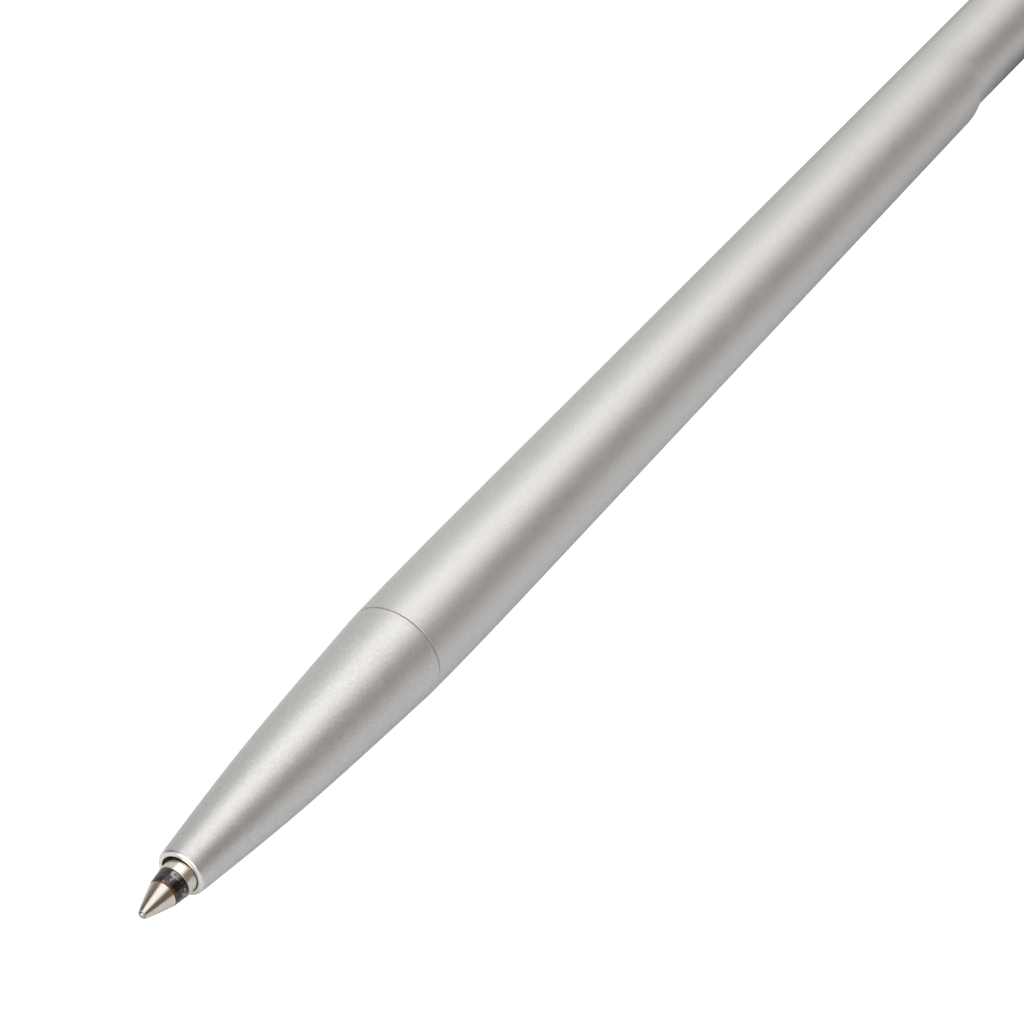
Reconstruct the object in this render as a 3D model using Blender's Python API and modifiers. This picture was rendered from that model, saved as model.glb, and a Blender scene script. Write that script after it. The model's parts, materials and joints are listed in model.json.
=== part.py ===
"""Twist-action technical pen: a slim metal barrel, a screwed nose cone, a ball-point
refill, a helical-slot twist mechanism under the rear knob and a sprung hinged clip.

The pen is modelled along its own axis: x runs from the ball of the point to the rear
end, +z is the clip's side. An empty then lays it down as it rests on a table, on the
barrel and on the clip, with the table at Z = 0. Lengths are in millimetres.
"""

import math

import bmesh
import bpy
from mathutils import Matrix, Vector

MM = 0.001

# ---- driving dimensions (mm) -------------------------------------------------------
BARREL_R = 3.4              # outer radius of the straight barrel
BORE_R = 2.6                # bore of the barrel tube
TOTAL_LENGTH = 151.0        # ball to rear end, point out
SEAM_X = 25.9               # joint between nose cone and barrel
BARREL_END_X = 143.0
TRAVEL = 5.0                # how far the refill goes back
TURN = math.pi              # knob turn for the full travel
SLIT = 0.05                 # gap between pieces that meet end to end
FIT = 0.03                  # radial gap of a fitted piece

# nose cone
MOUTH_R = 1.22
MOUTH_RIM_R = 0.455 * BARREL_R
MOUTH_X = 1.14 * BARREL_R
RIM_ROUND = 0.10 * BARREL_R
SEAM_R = 0.972 * BARREL_R
NOSE_BORE_R = 1.75          # chamber of the return spring
NOSE_THREAD_R = 2.5
SPRING_SEAT_X = 12.5

# barrel ends and the scallop under the clip
EASE_END_X = 11.5 * BARREL_R
SHOULDER_X = 31.18 * BARREL_R
SCALLOP_X = 31.83 * BARREL_R
SCALLOP_DEPTH = 0.115 * BARREL_R
SCALLOP_END_X = 136.0

# refill
BALL_R = 0.25
CONE_X = 2.04               # rear edge of the point cone
CONE_R = 0.90
BAND_X = 3.03               # rear edge of the smoky tip holder
SLEEVE_R = 1.09
REFILL_R = 1.15
REFILL_BORE_R = 0.95
NECK_X = 9.0                # front sleeve meets the refill tube
REFILL_END_X = 106.5
INK_END_X = 85.0
STOP_X = 27.1               # ring on the refill that the return spring pushes

# twist mechanism
PIN_X = 113.0               # follower pin, point out
PIN_R = 0.45
SLOT_WIDTH = 1.0
CARRIER_R = 1.58
CAM_R_OUT = 2.12
CAM_R_IN = 1.64
GUIDE_R_IN = 2.17
FITTED_R = BORE_R - FIT     # pieces pressed into the barrel
CAM_X = (107.6, 126.0)
GUIDE_X = (107.5, 121.5)
JOURNAL_R = 1.70
BUSH_X = (135.6, BARREL_END_X)
KNOB_X = (143.85, 150.7)
KNOB_R = 3.35

# clip
PIVOT = Vector((139.3, 0.0, 4.1))
PIVOT_R = 0.35
LUG_R = 0.62
CLIP_TOP = 5.3              # height of the arm's back over the barrel's axis
CLIP_HALF_WIDTH = 1.6
CLIP_CORNER = 0.45
CLIP_TIP_X = 118.0
CLIP_SHEET = 0.5
CHANNEL_WIDTH = 2.1
BLOCK_WIDTH = 1.9
BLOCK_X = (136.4, 142.6)
BLOCK_TOP = 3.9
RIVET_X = 137.2

# smoothness
BODY_FACETS = 40
MECH_FACETS = 24
REFILL_FACETS = 20

# The pen lies on the barrel and on the edge of the clip's back. LEAN is how far below
# the horizontal the clip then points, and AXIS_Y centres the whole over the origin.
EDGE_OUT = CLIP_TOP - CLIP_CORNER
EDGE_SIDE = CLIP_HALF_WIDTH - CLIP_CORNER
LEAN = math.asin((BARREL_R - CLIP_CORNER) / math.hypot(EDGE_OUT, EDGE_SIDE)) - math.atan2(
    EDGE_SIDE, EDGE_OUT
)
CLIP_REACH = EDGE_OUT * math.cos(LEAN) + EDGE_SIDE * math.sin(LEAN) + CLIP_CORNER
AXIS_Y = (CLIP_REACH - BARREL_R) / 2

SATIN = ((0.62, 0.61, 0.59), 0.36, 1.0)
NICKEL = ((0.66, 0.63, 0.58), 0.16, 1.0)
BRASS = ((0.72, 0.55, 0.28), 0.30, 1.0)
STEEL = ((0.56, 0.57, 0.58), 0.24, 1.0)
CARBIDE = ((0.34, 0.34, 0.35), 0.12, 1.0)
SMOKE = ((0.03, 0.022, 0.018), 0.08, 0.0)
RUBBER = ((0.02, 0.02, 0.02), 0.60, 0.0)
INK = ((0.01, 0.01, 0.015), 0.15, 0.0)
GREASE = ((0.70, 0.62, 0.40), 0.30, 0.0)
NYLON = ((0.80, 0.80, 0.78), 0.42, 0.0)


# ---- scene -------------------------------------------------------------------------
def clear_scene():
    for obj in list(bpy.data.objects):
        bpy.data.objects.remove(obj, do_unlink=True)


def new_collection(name):
    collection = bpy.data.collections.new(name)
    bpy.context.scene.collection.children.link(collection)
    return collection


clear_scene()
PARTS = new_collection("technical_pen")
CUTTERS = new_collection("cutters")


def lay_down():
    """The empty that carries the whole pen from its own axes to the table."""
    empty = bpy.data.objects.new("pen_axis", None)
    empty.empty_display_size = 0.01
    empty.location = (-TOTAL_LENGTH / 2 * MM, AXIS_Y * MM, BARREL_R * MM)
    empty.rotation_euler = (math.pi / 2 + LEAN, 0.0, 0.0)
    PARTS.objects.link(empty)
    return empty


PEN = lay_down()


def new_material(name, finish):
    colour, roughness, metallic = finish
    material = bpy.data.materials.new(name)
    material.use_nodes = True
    material.diffuse_color = (*colour, 1.0)
    shader = material.node_tree.nodes["Principled BSDF"]
    shader.inputs["Base Color"].default_value = (*colour, 1.0)
    shader.inputs["Roughness"].default_value = roughness
    shader.inputs["Metallic"].default_value = metallic
    return material


def add_object(name, data, finish):
    """A part in the pen's axes, or a hidden cutter where it has no finish."""
    obj = bpy.data.objects.new(name, data)
    if finish is None:
        CUTTERS.objects.link(obj)
        obj.display_type = "WIRE"
        obj.hide_render = True
    else:
        PARTS.objects.link(obj)
        data.materials.append(new_material(name, finish))
    obj.parent = PEN
    return obj


def mesh_object(name, bm, finish=None):
    bmesh.ops.scale(bm, vec=(MM, MM, MM), verts=bm.verts)
    bmesh.ops.recalc_face_normals(bm, faces=bm.faces)
    mesh = bpy.data.meshes.new(name)
    bm.to_mesh(mesh)
    bm.free()
    return add_object(name, mesh, finish)


# ---- shaping tools -----------------------------------------------------------------
def turned(name, outline, facets, finish=None, ring=True):
    """Turn an outline of (x, radius) about the pen's axis.

    The outline runs along the outer side from front to rear. A ring's outline then
    comes back along its bore; a solid piece's starts and ends on the axis.
    """
    points = [(x * MM, 0.0, radius * MM) for x, radius in reversed(outline)]
    edges = [(i, i + 1) for i in range(len(points) - 1)]
    if ring:
        edges.append((len(points) - 1, 0))
    mesh = bpy.data.meshes.new(name)
    mesh.from_pydata(points, edges, [])
    obj = add_object(name, mesh, finish)
    screw = obj.modifiers.new("turn", "SCREW")
    screw.axis = "X"
    screw.angle = 2 * math.pi
    screw.steps = facets
    screw.render_steps = facets
    screw.use_merge_vertices = True
    screw.merge_threshold = 0.000001
    return obj


def tube_outline(x0, x1, outer, inner, edge=0.0):
    """A plain ring between x0 and x1, its outer edges broken by a small bevel."""
    if edge == 0.0:
        return [(x0, outer), (x1, outer), (x1, inner), (x0, inner)]
    return [
        (x0, outer - edge),
        (x0 + edge, outer),
        (x1 - edge, outer),
        (x1, outer - edge),
        (x1, inner),
        (x0, inner),
    ]


def round_section_ring(name, x, ring_r, section_r, finish, facets=MECH_FACETS, sides=8):
    """An O-ring: a round section turned about the axis."""
    outline = []
    for i in range(sides):
        angle = math.pi - 2 * math.pi * i / sides
        outline.append((x + section_r * math.cos(angle), ring_r + section_r * math.sin(angle)))
    return turned(name, outline, facets, finish)


def arc(centre_x, centre_r, radius, start, end, steps):
    """Points of an arc in the outline plane, from start to end in degrees."""
    points = []
    for i in range(steps + 1):
        angle = math.radians(start + (end - start) * i / steps)
        points.append((centre_x + radius * math.cos(angle), centre_r + radius * math.sin(angle)))
    return points


def bezier(p0, p1, p2, p3, steps):
    """Points of a cubic curve between two ends with two handles."""
    points = []
    for i in range(steps + 1):
        t = i / steps
        u = 1 - t
        weights = (u**3, 3 * u * u * t, 3 * u * t * t, t**3)
        x = sum(w * p[0] for w, p in zip(weights, (p0, p1, p2, p3)))
        radius = sum(w * p[1] for w, p in zip(weights, (p0, p1, p2, p3)))
        points.append((x, radius))
    return points


def box(name, low, high, finish=None):
    bm = bmesh.new()
    bmesh.ops.create_cube(bm, size=1.0)
    size = Vector(high) - Vector(low)
    bmesh.ops.scale(bm, vec=size, verts=bm.verts)
    bmesh.ops.translate(bm, vec=(Vector(low) + Vector(high)) / 2, verts=bm.verts)
    return mesh_object(name, bm, finish)


def rod(name, centre, radius, length, axis, facets, finish=None):
    """A plain cylinder along Y or Z of the pen's axes."""
    bm = bmesh.new()
    bmesh.ops.create_cone(
        bm,
        cap_ends=True,
        segments=facets,
        radius1=radius,
        radius2=radius,
        depth=length,
    )
    if axis == "Y":
        turn = Matrix.Rotation(math.pi / 2, 4, "X")
        bmesh.ops.transform(bm, matrix=turn, verts=bm.verts)
    bmesh.ops.translate(bm, vec=centre, verts=bm.verts)
    return mesh_object(name, bm, finish)


def cut(obj, cutter, operation="DIFFERENCE"):
    boolean = obj.modifiers.new(cutter.name, "BOOLEAN")
    boolean.object = cutter
    boolean.operation = operation
    boolean.solver = "EXACT"


def coil(name, start, end, radius, wire_r, turns, points_per_turn, finish):
    """A compression spring between two points, its end turns closed and flat."""
    axis = (Vector(end) - Vector(start)).normalized()
    side = axis.orthogonal().normalized()
    across = axis.cross(side)
    length = (Vector(end) - Vector(start)).length - 2 * wire_r
    count = int(turns * points_per_turn)
    closed = 2.1 * wire_r / length
    curve = bpy.data.curves.new(name, "CURVE")
    curve.dimensions = "3D"
    curve.bevel_depth = wire_r * MM
    curve.bevel_resolution = 2
    curve.use_fill_caps = True
    spline = curve.splines.new("POLY")
    spline.points.add(count)
    for i in range(count + 1):
        turn = turns * i / count
        first = min(turn, 1.0) * closed
        last = min(turns - turn, 1.0) * closed
        middle = max(0.0, min(1.0, (turn - 1.0) / (turns - 2.0)))
        along = first + middle * (1 - 2 * closed) + (closed - last)
        angle = 2 * math.pi * turn
        spot = Vector(start) + axis * (wire_r + along * length)
        spot += side * (radius * math.cos(angle)) + across * (radius * math.sin(angle))
        spline.points[i].co = (*(spot * MM), 1.0)
    return add_object(name, curve, finish)


def set_origin(obj, point):
    """Put the origin on the joint's axis without moving the piece."""
    shift = point * MM
    obj.data.transform(Matrix.Translation(-shift))
    obj.location = shift


# ---- nose cone and barrel ----------------------------------------------------------
def nose_cone():
    """Ogive cone with a rounded mouth, the spring's chamber and a threaded socket."""
    rear_x = SEAM_X - SLIT / 2
    rim_centre_r = MOUTH_RIM_R - RIM_ROUND
    rim_x = MOUTH_X - 0.03 * BARREL_R
    flank_x = 1.22 * BARREL_R
    front = arc(rim_x + RIM_ROUND, rim_centre_r, RIM_ROUND, 180, 98, 4)
    flank = bezier(
        (flank_x, MOUTH_RIM_R + 0.008 * BARREL_R),
        (3.77 * BARREL_R, 0.754 * BARREL_R),
        (4.22 * BARREL_R, 0.778 * BARREL_R),
        (rear_x - 0.06, SEAM_R),
        9,
    )
    bore = [
        (rear_x, SEAM_R - 0.06),
        (rear_x, NOSE_THREAD_R),
        (19.6, NOSE_THREAD_R),
        (18.9, NOSE_BORE_R),
        (SPRING_SEAT_X, NOSE_BORE_R),
        (SPRING_SEAT_X, 1.36),
        (6.3, 1.36),
        (6.0, MOUTH_R),
    ]
    mouth = [(rim_x + 0.10, MOUTH_R)]
    outline = front + flank[1:] + bore + mouth
    return turned("nose_cone", outline, BODY_FACETS, SATIN)


def barrel_stations():
    """Rings of the barrel's outside: (x, radius, shift away from the clip).

    The scallop is turned about a shifted axis, so each ring there is a smaller circle
    that still touches the barrel's far side. It flares until it meets the full barrel.
    """
    front_x = SEAM_X + SLIT / 2
    stations = [(front_x, SEAM_R - 0.06, 0.0)]
    ease_steps = 5
    for i in range(ease_steps + 1):
        share = i / ease_steps
        x = front_x + 0.06 + (EASE_END_X - front_x - 0.06) * share**1.4
        stations.append((x, BARREL_R - (BARREL_R - SEAM_R) * (1 - share**1.4) ** 3, 0.0))
    round_steps = 6
    for i in range(round_steps + 1):
        angle = math.pi / 2 * i / round_steps
        drop = SCALLOP_DEPTH * (1 - math.cos(angle)) / 2
        x = SHOULDER_X + (SCALLOP_X - SHOULDER_X) * math.sin(angle)
        stations.append((x, BARREL_R - drop, drop))
    stations.append((SCALLOP_END_X, BARREL_R, 0.0))
    stations.append((BARREL_END_X - 0.12, BARREL_R, 0.0))
    stations.append((BARREL_END_X, BARREL_R - 0.12, 0.0))
    return stations


def barrel_tube():
    """The barrel: rings bridged along the outside and back through the bore."""
    rings = barrel_stations()
    rings += [(rings[-1][0], BORE_R, 0.0), (rings[0][0], BORE_R, 0.0)]
    bm = bmesh.new()
    loops = []
    for x, radius, shift in rings:
        place = Matrix.Translation((x, 0.0, -shift)) @ Matrix.Rotation(math.pi / 2, 4, "Y")
        made = bmesh.ops.create_circle(bm, segments=BODY_FACETS, radius=radius, matrix=place)
        loops.append({edge for vert in made["verts"] for edge in vert.link_edges})
    for ring, following in zip(loops, loops[1:] + loops[:1]):
        bmesh.ops.bridge_loops(bm, edges=list(ring | following))
    barrel = mesh_object("barrel_tube", bm, SATIN)
    stud_hole = rod("stud_hole", (PIVOT.x, 0, BARREL_R - 0.2), 0.85, 2.4, "Z", 16)
    rivet_hole = rod("barrel_rivet_hole", (RIVET_X, 0, BARREL_R - 0.2), 0.40, 2.4, "Z", 12)
    cut(barrel, stud_hole)
    cut(barrel, rivet_hole)
    return barrel


def thread_bush():
    """Brass bush fixed in the barrel: the nose cone screws onto its front half."""
    outline = [
        (20.0, 2.34),
        (20.12, 2.46),
        (SEAM_X + 0.12, 2.46),
        (SEAM_X + 0.12, 2.15),
        (SEAM_X + 0.68, 2.15),
        (SEAM_X + 0.68, FITTED_R),
        (32.0, FITTED_R),
        (32.0, 2.0),
        (20.0, 2.0),
    ]
    return turned("thread_bush", outline, MECH_FACETS, BRASS)


def nose_fittings():
    round_section_ring("seal_ring", SEAM_X + 0.40, 2.37, 0.185, RUBBER)
    washer = tube_outline(SPRING_SEAT_X + SLIT, SPRING_SEAT_X + 0.35, 1.70, 1.30)
    turned("spring_seat", washer, REFILL_FACETS, STEEL)
    coil(
        "return_spring",
        (SPRING_SEAT_X + 0.38, 0, 0),
        (STOP_X - 0.03, 0, 0),
        1.5,
        0.15,
        11,
        10,
        STEEL,
    )


# ---- refill ------------------------------------------------------------------------
def point():
    """Ball and cone: the cone's lip holds the ball, and a channel feeds it with ink."""
    bm = bmesh.new()
    bmesh.ops.create_uvsphere(bm, u_segments=12, v_segments=8, radius=BALL_R)
    ball = mesh_object("point_ball", bm, CARBIDE)
    ball.location = (BALL_R * MM, 0.0, 0.0)

    seat_r = BALL_R + 0.025
    lip = arc(BALL_R, 0.0, seat_r, 108, 35, 4)
    outer = bezier((0.17, 0.30), (0.70, 0.50), (1.40, 0.72), (CONE_X, CONE_R), 5)
    stem = [(CONE_X, 0.60), (4.4, 0.60), (4.4, 0.16)]
    turned("point_cone", outer + stem + list(reversed(lip)), REFILL_FACETS, NICKEL)


def refill_front():
    """Smoky tip holder and the nickel sleeve that grips it."""
    holder = [
        (CONE_X + 0.03, CONE_R + 0.03),
        (2.5, 1.0),
        (BAND_X, 0.31 * BARREL_R),
        (BAND_X, 0.94),
        (6.0, 0.94),
        (6.0, 0.35),
        (4.5, 0.35),
        (4.5, 0.63),
        (CONE_X + 0.03, 0.63),
    ]
    turned("tip_holder", holder, REFILL_FACETS, SMOKE)
    sleeve = [
        (BAND_X + 0.03, SLEEVE_R - 0.06),
        (BAND_X + 0.09, SLEEVE_R),
        (NECK_X, SLEEVE_R),
        (NECK_X, 0.92),
        (11.0, 0.92),
        (11.0, 0.75),
        (6.1, 0.75),
        (6.1, 0.97),
        (BAND_X + 0.03, 0.97),
    ]
    turned("front_sleeve", sleeve, REFILL_FACETS, NICKEL)


def refill_body():
    """Refill tube, the ink in it, the grease that follows the ink, and the plug."""
    tube = tube_outline(NECK_X + 0.03, REFILL_END_X, REFILL_R, REFILL_BORE_R, 0.06)
    turned("refill_tube", tube, REFILL_FACETS, NICKEL)
    core_r = REFILL_BORE_R - FIT
    ink = [(11.05, 0.0), (11.05, core_r), (INK_END_X, core_r), (INK_END_X, 0.0)]
    turned("ink", ink, REFILL_FACETS, INK, ring=False)
    grease = [
        (INK_END_X + SLIT, 0.0),
        (INK_END_X + SLIT, core_r),
        (INK_END_X + 3.0, core_r),
        (INK_END_X + 2.6, 0.0),
    ]
    turned("ink_follower", grease, REFILL_FACETS, GREASE, ring=False)
    plug = [
        (REFILL_END_X - 2.0, core_r - 0.05),
        (REFILL_END_X - 1.9, core_r),
        (REFILL_END_X + 0.03, core_r),
        (REFILL_END_X + 0.03, REFILL_R),
        (REFILL_END_X + 0.70, REFILL_R),
        (REFILL_END_X + 0.85, REFILL_R - 0.15),
        (REFILL_END_X + 0.85, 0.30),
        (REFILL_END_X - 2.0, 0.30),
    ]
    turned("tail_plug", plug, REFILL_FACETS, NYLON)
    stop = tube_outline(STOP_X, STOP_X + 0.8, 1.85, REFILL_R + FIT, 0.1)
    turned("spring_stop", stop, REFILL_FACETS, STEEL)


# ---- twist mechanism ---------------------------------------------------------------
def carrier():
    """Holds the refill's tail; its cross pin reaches through cam and guide."""
    outline = [
        (103.0, CARRIER_R - 0.1),
        (103.1, CARRIER_R),
        (116.9, CARRIER_R),
        (117.0, CARRIER_R - 0.1),
        (117.0, 0.3),
        (REFILL_END_X + 0.95, 0.3),
        (REFILL_END_X + 0.95, REFILL_R + FIT),
        (103.0, REFILL_R + FIT),
    ]
    piece = turned("carrier", outline, MECH_FACETS, NYLON)
    hole = rod("carrier_pin_hole", (PIN_X, 0, 0), PIN_R + FIT, 6.0, "Y", 16)
    cut(piece, hole)
    rod("follower_pin", (PIN_X, 0, 0), PIN_R, 4.96, "Y", 16, STEEL)


def guide_sleeve():
    """Fixed in the barrel: its straight slots let the pin slide but not turn."""
    outline = tube_outline(*GUIDE_X, FITTED_R, GUIDE_R_IN, 0.08)
    piece = turned("guide_sleeve", outline, MECH_FACETS, BRASS)
    reach = PIN_R + 0.1
    low = (PIN_X - reach, -4.0, -SLOT_WIDTH / 2)
    high = (PIN_X + TRAVEL + reach, 4.0, SLOT_WIDTH / 2)
    cut(piece, box("straight_slots", low, high))


def helical_cutter(name, start_angle):
    """A block swept along the cam's helix, one step of turn and advance at a time."""
    mean_r = (CAM_R_IN + CAM_R_OUT) / 2
    advance = TRAVEL / TURN
    slope = math.atan2(mean_r, advance)
    across = Vector((math.sin(slope), 0.0, math.cos(slope))) * (SLOT_WIDTH / 2)
    over_run = (PIN_R + 0.1) / math.hypot(mean_r, advance)
    steps = 20
    turn_step = (TURN + 2 * over_run) / steps
    bm = bmesh.new()
    corners = []
    for radius, side in ((1.2, -1), (1.2, 1), (2.6, 1), (2.6, -1)):
        corners.append(bm.verts.new(Vector((PIN_X, radius, 0.0)) + across * side))
    face = bm.faces.new(corners)
    to_start = Matrix.Rotation(start_angle + over_run, 4, "X")
    bmesh.ops.transform(bm, matrix=to_start, verts=bm.verts)
    bmesh.ops.translate(bm, vec=(-over_run * advance, 0, 0), verts=bm.verts)
    for _ in range(steps):
        made = bmesh.ops.extrude_face_region(bm, geom=[face])["geom"]
        verts = [item for item in made if isinstance(item, bmesh.types.BMVert)]
        faces = [item for item in made if isinstance(item, bmesh.types.BMFace)]
        if len(bm.faces) > 6:
            bmesh.ops.delete(bm, geom=[face], context="FACES_ONLY")
        face = faces[0]
        bmesh.ops.rotate(bm, matrix=Matrix.Rotation(-turn_step, 3, "X"), verts=verts)
        bmesh.ops.translate(bm, vec=(turn_step * advance, 0, 0), verts=verts)
    return mesh_object(name, bm)


def cam_sleeve():
    """Turns with the knob: two opposite helical slots drive the pin along the axis."""
    outline = tube_outline(*CAM_X, CAM_R_OUT, CAM_R_IN)
    piece = turned("cam_sleeve", outline, MECH_FACETS, BRASS)
    for i in range(2):
        cut(piece, helical_cutter(f"helical_slot_{i + 1}", i * math.pi))


def mechanism_bearings():
    """Ring that stops the cam at the front, bush that carries the knob's shaft."""
    stop = tube_outline(106.7, 107.4, FITTED_R, 1.75)
    turned("stop_ring", stop, MECH_FACETS, STEEL)
    turned("rear_bush", tube_outline(*BUSH_X, FITTED_R, 1.78, 0.08), MECH_FACETS, BRASS)
    trim = tube_outline(BARREL_END_X + SLIT, 143.75, 3.2, 1.78, 0.06)
    turned("trim_ring", trim, BODY_FACETS, NICKEL)


def knob():
    """Shaft, its rubber drag ring, the knob's shell and the disc that closes it."""
    shaft = [
        (122.8, 0.0),
        (122.8, 1.60),
        (CAM_X[1] + 0.1, 1.60),
        (CAM_X[1] + 0.1, 2.05),
        (135.5, 2.05),
        (135.5, JOURNAL_R),
        (139.25, JOURNAL_R),
        (139.25, 1.33),
        (139.75, 1.33),
        (139.75, JOURNAL_R),
        (149.6, JOURNAL_R),
        (149.6, 0.0),
    ]
    turned("knob_shaft", shaft, MECH_FACETS, STEEL, ring=False)
    round_section_ring("drag_ring", 139.5, 1.55, 0.185, RUBBER)
    shell = [
        (KNOB_X[0], KNOB_R - 0.12),
        (KNOB_X[0] + 0.12, KNOB_R),
        (KNOB_X[1] - 0.8, KNOB_R),
    ]
    shell += arc(KNOB_X[1] - 0.8, KNOB_R - 0.8, 0.8, 72, 0, 4)
    shell += [
        (KNOB_X[1], 2.23),
        (149.7, 2.23),
        (149.7, JOURNAL_R + FIT),
        (KNOB_X[0], JOURNAL_R + FIT),
    ]
    turned("knob_shell", shell, BODY_FACETS, SATIN)
    disc = [
        (149.73, 0.0),
        (149.73, 2.2),
        (TOTAL_LENGTH - 0.15, 2.2),
        (TOTAL_LENGTH, 2.05),
        (TOTAL_LENGTH, 0.0),
    ]
    turned("knob_end_disc", disc, MECH_FACETS, NICKEL, ring=False)


# ---- clip --------------------------------------------------------------------------
def rounded_section(half_width, low, high, corner, steps=2):
    """Corner points of a rounded rectangle across the clip, as (y, z)."""
    corner = min(corner, half_width * 0.98, (high - low) * 0.49)
    centres = (
        (half_width - corner, high - corner, 0),
        (corner - half_width, high - corner, 90),
        (corner - half_width, low + corner, 180),
        (half_width - corner, low + corner, 270),
    )
    points = []
    for y, z, start in centres:
        for i in range(steps + 1):
            angle = math.radians(start + 90 * i / steps)
            points.append((y + corner * math.cos(angle), z + corner * math.sin(angle)))
    return points


def loft(name, sections, finish=None):
    """A solid through outlines across the clip: each is (x, points as (y, z))."""
    bm = bmesh.new()
    rings = []
    for x, outline in sections:
        verts = [bm.verts.new((x, y, z)) for y, z in outline]
        count = len(verts)
        rings.append([bm.edges.new((verts[i], verts[(i + 1) % count])) for i in range(count)])
        if len(rings) in (1, len(sections)):
            bm.faces.new(verts)
    for ring, following in zip(rings, rings[1:]):
        bmesh.ops.bridge_loops(bm, edges=ring + following)
    return mesh_object(name, bm, finish)


def clip_arm():
    """Sheet arm folded to a channel: straddles the block, dips to touch the barrel."""
    stations = (
        (CLIP_TIP_X, 0.55, 3.42, 3.78),
        (CLIP_TIP_X + 0.25, 0.95, 3.24, 4.02),
        (CLIP_TIP_X + 1.0, 1.12, 3.19, 4.32),
        (CLIP_TIP_X + 1.9, 1.18, 3.34, 4.58),
        (CLIP_TIP_X + 3.4, 1.24, 3.85, 4.86),
        (CLIP_TIP_X + 6.0, 1.32, 4.18, 5.10),
        (CLIP_TIP_X + 10.5, 1.44, 4.28, 5.24),
        (PIVOT.x - 4.0, 1.56, 4.20, CLIP_TOP),
        (PIVOT.x - 2.0, CLIP_HALF_WIDTH, 3.85, CLIP_TOP),
        (PIVOT.x - 0.7, CLIP_HALF_WIDTH, 3.42, CLIP_TOP),
        (PIVOT.x + 0.7, CLIP_HALF_WIDTH, 3.42, CLIP_TOP),
        (PIVOT.x + 1.9, CLIP_HALF_WIDTH, 3.90, CLIP_TOP),
        (PIVOT.x + 3.1, 1.56, 4.20, 5.20),
        (PIVOT.x + 3.6, 1.38, 4.35, 4.95),
    )
    sections = [(x, rounded_section(w, low, high, CLIP_CORNER)) for x, w, low, high in stations]
    arm = loft("clip_arm", sections, SATIN)

    roof = CLIP_TOP - CLIP_SHEET
    half = CHANNEL_WIDTH / 2
    channel = []
    for x, side, top in (
        (CLIP_TIP_X + 3.6, 0.75, 4.36),
        (PIVOT.x - 5.0, half, roof),
        (PIVOT.x + 5.0, half, roof),
    ):
        channel.append((x, [(-side, 2.0), (side, 2.0), (side, top), (-side, top)]))
    cut(arm, loft("clip_channel", channel))
    cut(arm, rod("clip_pin_hole", PIVOT, PIVOT_R + FIT, 8.0, "Y", 16))
    set_origin(arm, PIVOT)
    return arm


def clip_block():
    """Saddle on the barrel with the lug that the clip swings on and a brazed stud."""
    half = BLOCK_WIDTH / 2
    piece = box("clip_block", (BLOCK_X[0], -half, 2.9), (BLOCK_X[1], half, BLOCK_TOP), STEEL)
    lug = rod("clip_lug", PIVOT, LUG_R, BLOCK_WIDTH, "Y", 20)
    stud = rod("clip_stud", (PIVOT.x, 0, 3.2), 0.8, 1.1, "Z", 16)
    seat = turned(
        "clip_seat",
        [(130, 0.0), (130, BARREL_R + FIT), (146, BARREL_R + FIT), (146, 0.0)],
        64,
        ring=False,
    )
    cut(piece, seat)
    cut(piece, stud, "UNION")
    cut(piece, lug, "UNION")
    cut(piece, rod("lug_pin_hole", PIVOT, PIVOT_R + FIT, 8.0, "Y", 16))
    cut(piece, rod("block_rivet_hole", (RIVET_X, 0, 3.4), 0.40, 3.0, "Z", 12))
    return piece


def clip_fittings():
    """Hinge pin, the rivet through the block, and the little spring under the heel."""
    rod("clip_pin", PIVOT, PIVOT_R, 2 * CLIP_HALF_WIDTH - 0.1, "Y", 16, STEEL)
    shank_top = BLOCK_TOP + 0.03
    outline = [
        (2.75, 0.0),
        (2.75, 0.36),
        (shank_top, 0.36),
        (shank_top, 0.62),
        (shank_top + 0.14, 0.58),
        (shank_top + 0.24, 0.30),
        (shank_top + 0.26, 0.0),
    ]
    rivet = turned("clip_rivet", outline, 12, STEEL, ring=False)
    rivet.rotation_euler = (0.0, -math.pi / 2, 0.0)
    rivet.location = (RIVET_X * MM, 0.0, 0.0)
    spring_x = 141.6
    coil(
        "clip_spring",
        (spring_x, 0, BLOCK_TOP + 0.03),
        (spring_x, 0, CLIP_TOP - CLIP_SHEET - 0.03),
        0.55,
        0.09,
        3,
        9,
        STEEL,
    )


# ---- finish ------------------------------------------------------------------------
def freeze_and_shade():
    """Swap each part for its evaluated mesh, smooth but for its real edges."""
    bpy.context.view_layer.update()
    graph = bpy.context.evaluated_depsgraph_get()
    for obj in [o for o in PARTS.objects if o.type in {"MESH", "CURVE"}]:
        mesh = bpy.data.meshes.new_from_object(obj.evaluated_get(graph))
        bm = bmesh.new()
        bm.from_mesh(mesh)
        bmesh.ops.remove_doubles(bm, verts=bm.verts, dist=0.000001)
        bm.to_mesh(mesh)
        bm.free()
        mesh.shade_smooth()
        mesh.set_sharp_from_angle(angle=math.radians(30))
        if obj.type == "CURVE":
            solid = bpy.data.objects.new(obj.name + "_solid", mesh)
            PARTS.objects.link(solid)
            solid.parent = obj.parent
            name = obj.name
            bpy.data.objects.remove(obj, do_unlink=True)
            solid.name = name
        else:
            obj.modifiers.clear()
            obj.data = mesh


nose_cone()
barrel_tube()
thread_bush()
nose_fittings()
point()
refill_front()
refill_body()
carrier()
guide_sleeve()
cam_sleeve()
mechanism_bearings()
knob()
clip_arm()
clip_block()
clip_fittings()
freeze_and_shade()
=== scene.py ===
"""Looks of a slim satin technical pen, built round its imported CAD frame."""

import json
import math

import bmesh
import bpy
from bpy.props import FloatProperty, FloatVectorProperty, IntProperty, PointerProperty
from bpy.types import Operator, Panel, PropertyGroup
from mathutils import Matrix, Vector


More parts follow.
